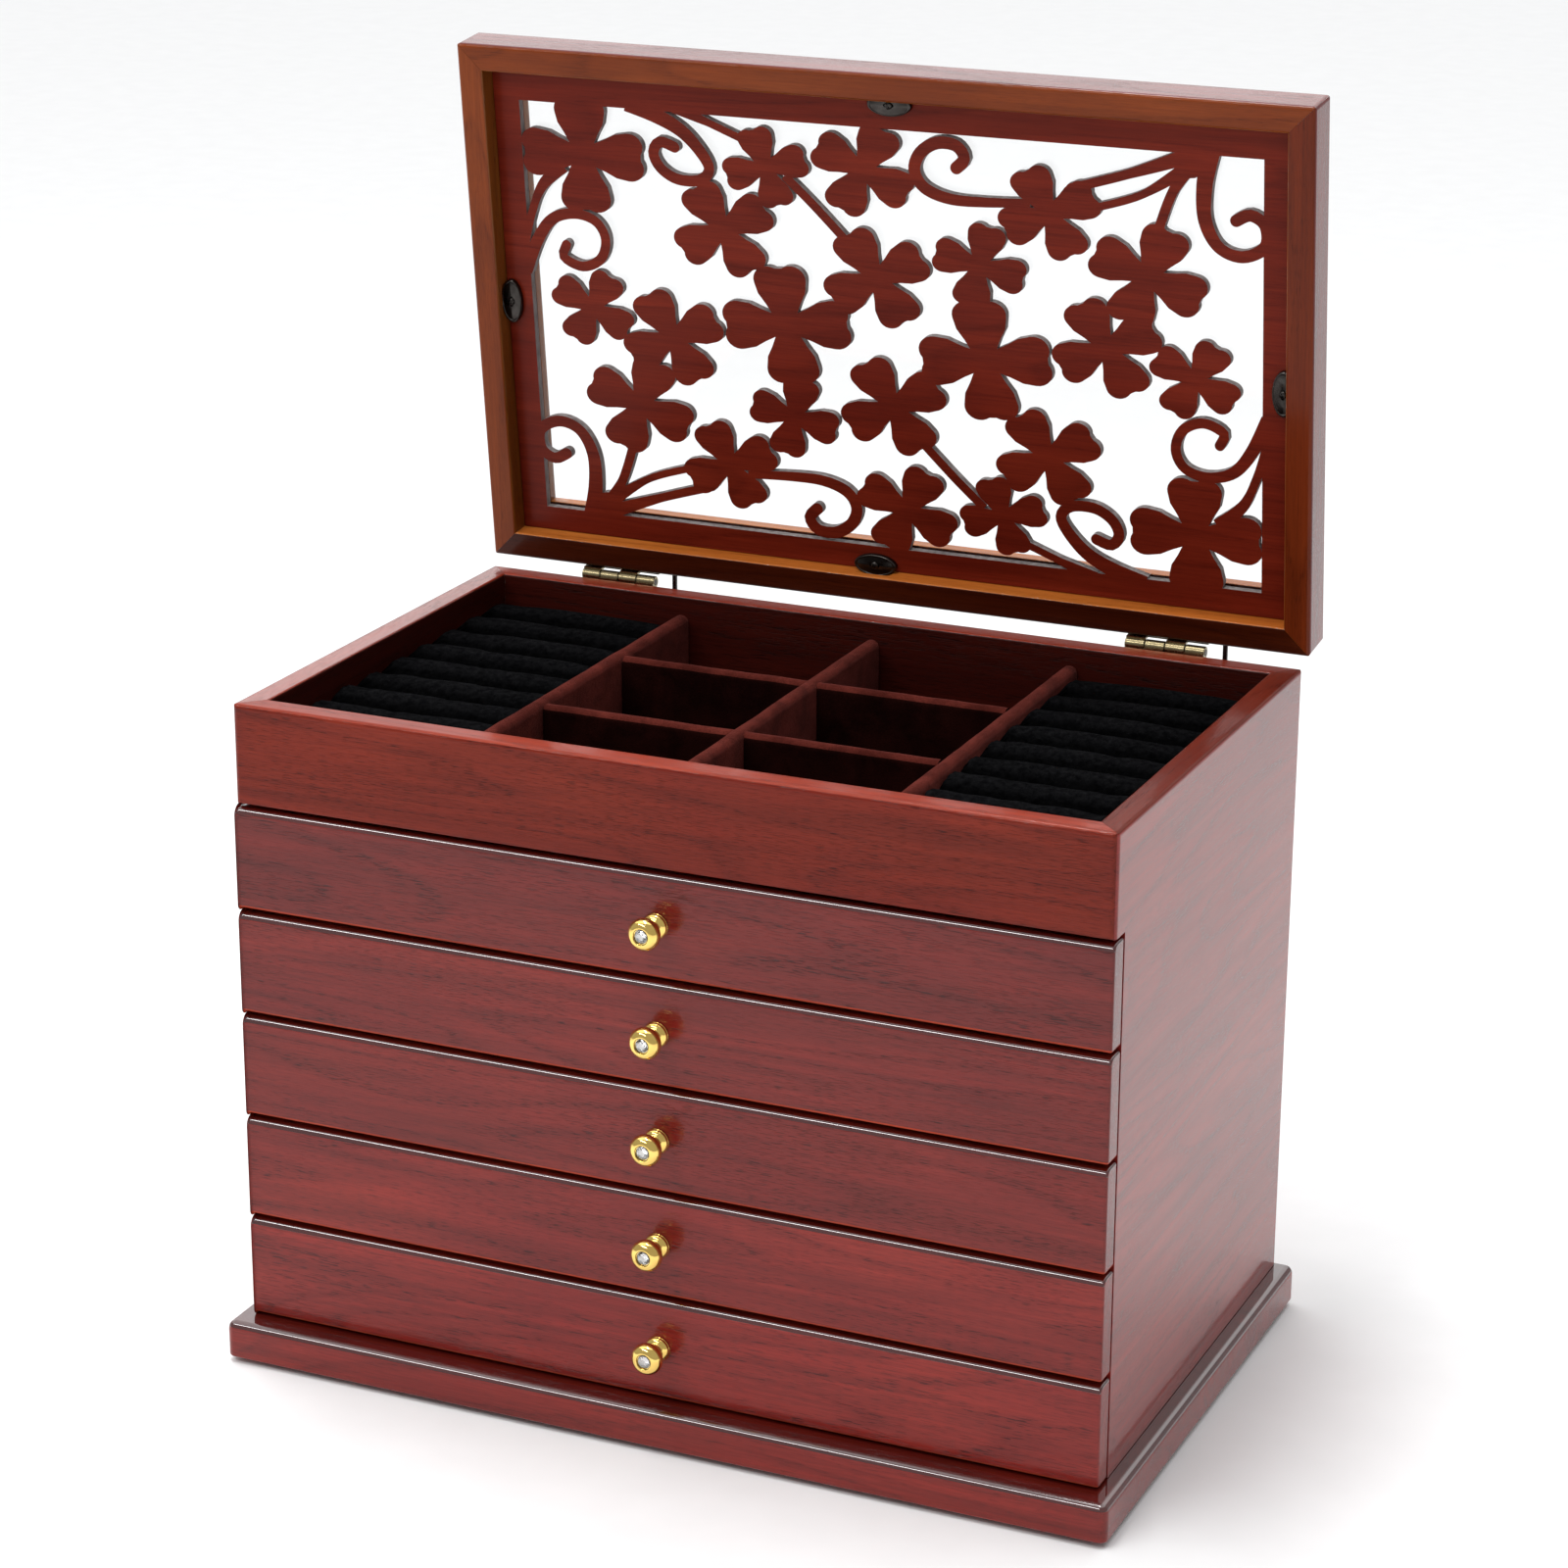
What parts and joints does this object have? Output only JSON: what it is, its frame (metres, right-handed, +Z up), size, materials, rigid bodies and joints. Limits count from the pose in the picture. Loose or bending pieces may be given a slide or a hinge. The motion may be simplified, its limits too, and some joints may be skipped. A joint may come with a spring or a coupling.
{
  "type": "jewellery chest",
  "caption": "Wooden jewellery chest: stacked drawers with gold knobs under a lined tray with ring rolls, closed by a hinged lid with clover fretwork and glass.",
  "frame": {"origin": "middle of the plinth's footprint, on the surface the chest stands on", "axes": "+Z up, -Y the way the drawers open, +X to the right for someone facing the drawers"},
  "size_m": [0.354, 0.239, 0.4749],
  "materials": {
    "mahogany": "lacquered",
    "lid_wood": "lacquered",
    "carcass": "satin",
    "velvet": "velvet pile",
    "black_velvet": "velvet pile",
    "felt": "matt",
    "gold": "polished",
    "crystal": "clear cut",
    "antique_brass": "aged satin",
    "gunmetal": "polished dark",
    "glass": "clear"
  },
  "bodies": {
    "chest": {"base_felt": "felt", "plinth": "mahogany", "side_left": "mahogany", "side_right": "mahogany", "back_panel": "mahogany", "tray_front": "mahogany", "tray_floor": "carcass", "drawer_shelf_1": "carcass", "drawer_shelf_2": "carcass", "drawer_shelf_3": "carcass", "drawer_shelf_4": "carcass", "divider_left": "velvet", "divider_middle": "velvet", "divider_right": "velvet", "cross_divider_front": "velvet", "cross_divider_rear": "velvet", "ring_rolls_left": "black_velvet", "ring_rolls_right": "black_velvet", "hinge_left_box_leaf": "antique_brass", "hinge_right_box_leaf": "antique_brass", "hinge_left_pin": "antique_brass", "hinge_right_pin": "antique_brass"},
    "lid": {"lid_rail_front": "lid_wood", "lid_rail_back": "lid_wood", "lid_rail_left": "lid_wood", "lid_rail_right": "lid_wood", "lid_glass": "glass", "lid_fretwork": "lid_wood", "lid_plate_front": "gunmetal", "lid_plate_back": "gunmetal", "lid_plate_left": "gunmetal", "lid_plate_right": "gunmetal", "lid_screw_front": "gunmetal", "lid_screw_back": "gunmetal", "lid_screw_left": "gunmetal", "lid_screw_right": "gunmetal", "hinge_left_lid_leaf": "antique_brass", "hinge_right_lid_leaf": "antique_brass", "lid_stop_left": "gunmetal", "lid_stop_right": "gunmetal"},
    "drawer_1": {"drawer_1_front": "mahogany", "drawer_1_box": "carcass", "drawer_1_knob": "gold", "drawer_1_gem": "crystal"},
    "drawer_2": {"drawer_2_front": "mahogany", "drawer_2_box": "carcass", "drawer_2_knob": "gold", "drawer_2_gem": "crystal"},
    "drawer_3": {"drawer_3_front": "mahogany", "drawer_3_box": "carcass", "drawer_3_knob": "gold", "drawer_3_gem": "crystal"},
    "drawer_4": {"drawer_4_front": "mahogany", "drawer_4_box": "carcass", "drawer_4_knob": "gold", "drawer_4_gem": "crystal"},
    "drawer_5": {"drawer_5_front": "mahogany", "drawer_5_box": "carcass", "drawer_5_knob": "gold", "drawer_5_gem": "crystal"}
  },
  "joints": [
    {"name": "lid_hinge", "type": "hinge", "parent": "chest", "child": "lid", "pos_m": [0, 0.1092, 0.2604], "axis": [1, 0, 0], "range_deg": [0, 83.5]},
    {"name": "drawer_1_slide", "type": "slide", "parent": "chest", "child": "drawer_1", "axis": [0, -1, 0], "range_m": [0, 0.15]},
    {"name": "drawer_2_slide", "type": "slide", "parent": "chest", "child": "drawer_2", "axis": [0, -1, 0], "range_m": [0, 0.15]},
    {"name": "drawer_3_slide", "type": "slide", "parent": "chest", "child": "drawer_3", "axis": [0, -1, 0], "range_m": [0, 0.15]},
    {"name": "drawer_4_slide", "type": "slide", "parent": "chest", "child": "drawer_4", "axis": [0, -1, 0], "range_m": [0, 0.15]},
    {"name": "drawer_5_slide", "type": "slide", "parent": "chest", "child": "drawer_5", "axis": [0, -1, 0], "range_m": [0, 0.15]}
  ]
}
